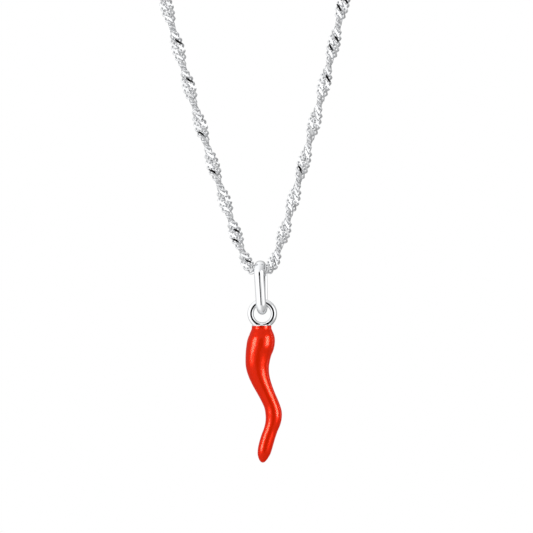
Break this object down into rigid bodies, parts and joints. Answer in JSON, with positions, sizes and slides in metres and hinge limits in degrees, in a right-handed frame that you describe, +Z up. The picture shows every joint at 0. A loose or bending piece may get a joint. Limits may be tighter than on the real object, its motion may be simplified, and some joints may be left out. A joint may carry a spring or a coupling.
{
  "type": "cornicello horn pendant necklace",
  "caption": "Small S-curved horn charm in red enamel with a face-on ring and cast loop bail, hanging free from a fine twisted chain closed by a plain barrel clasp.",
  "frame": {"origin": "under the middle of the clasp, on the inner side of the loop's top, where the necklace hangs", "axes": "+Z up from the horn to the clasp, +Y away from the viewer, so the horn and ring face -Y, +X to the viewer's right"},
  "size_m": [0.0696, 0.0036, 0.2264],
  "materials": {
    "chain_silver": "diamond-cut rhodium-plated silver",
    "cast_silver": "polished rhodium-plated silver",
    "red_enamel": "fired glossy enamel"
  },
  "bodies": {
    "root": {"chain": "chain_silver", "clasp": "cast_silver"},
    "bail": {"bail": "cast_silver"},
    "horn": {"horn_core": "cast_silver", "enamel": "red_enamel"}
  },
  "joints": [
    {"name": "bail_swing", "type": "hinge", "parent": "root", "child": "bail", "pos_m": [0, 0, -0.1987], "axis": [1, 0, 0], "range_deg": [-90, 90]},
    {"name": "horn_swing", "type": "hinge", "parent": "bail", "child": "horn", "pos_m": [0.00012, 0, -0.20422], "axis": [0, 1, 0], "range_deg": [-90, 90]}
  ]
}
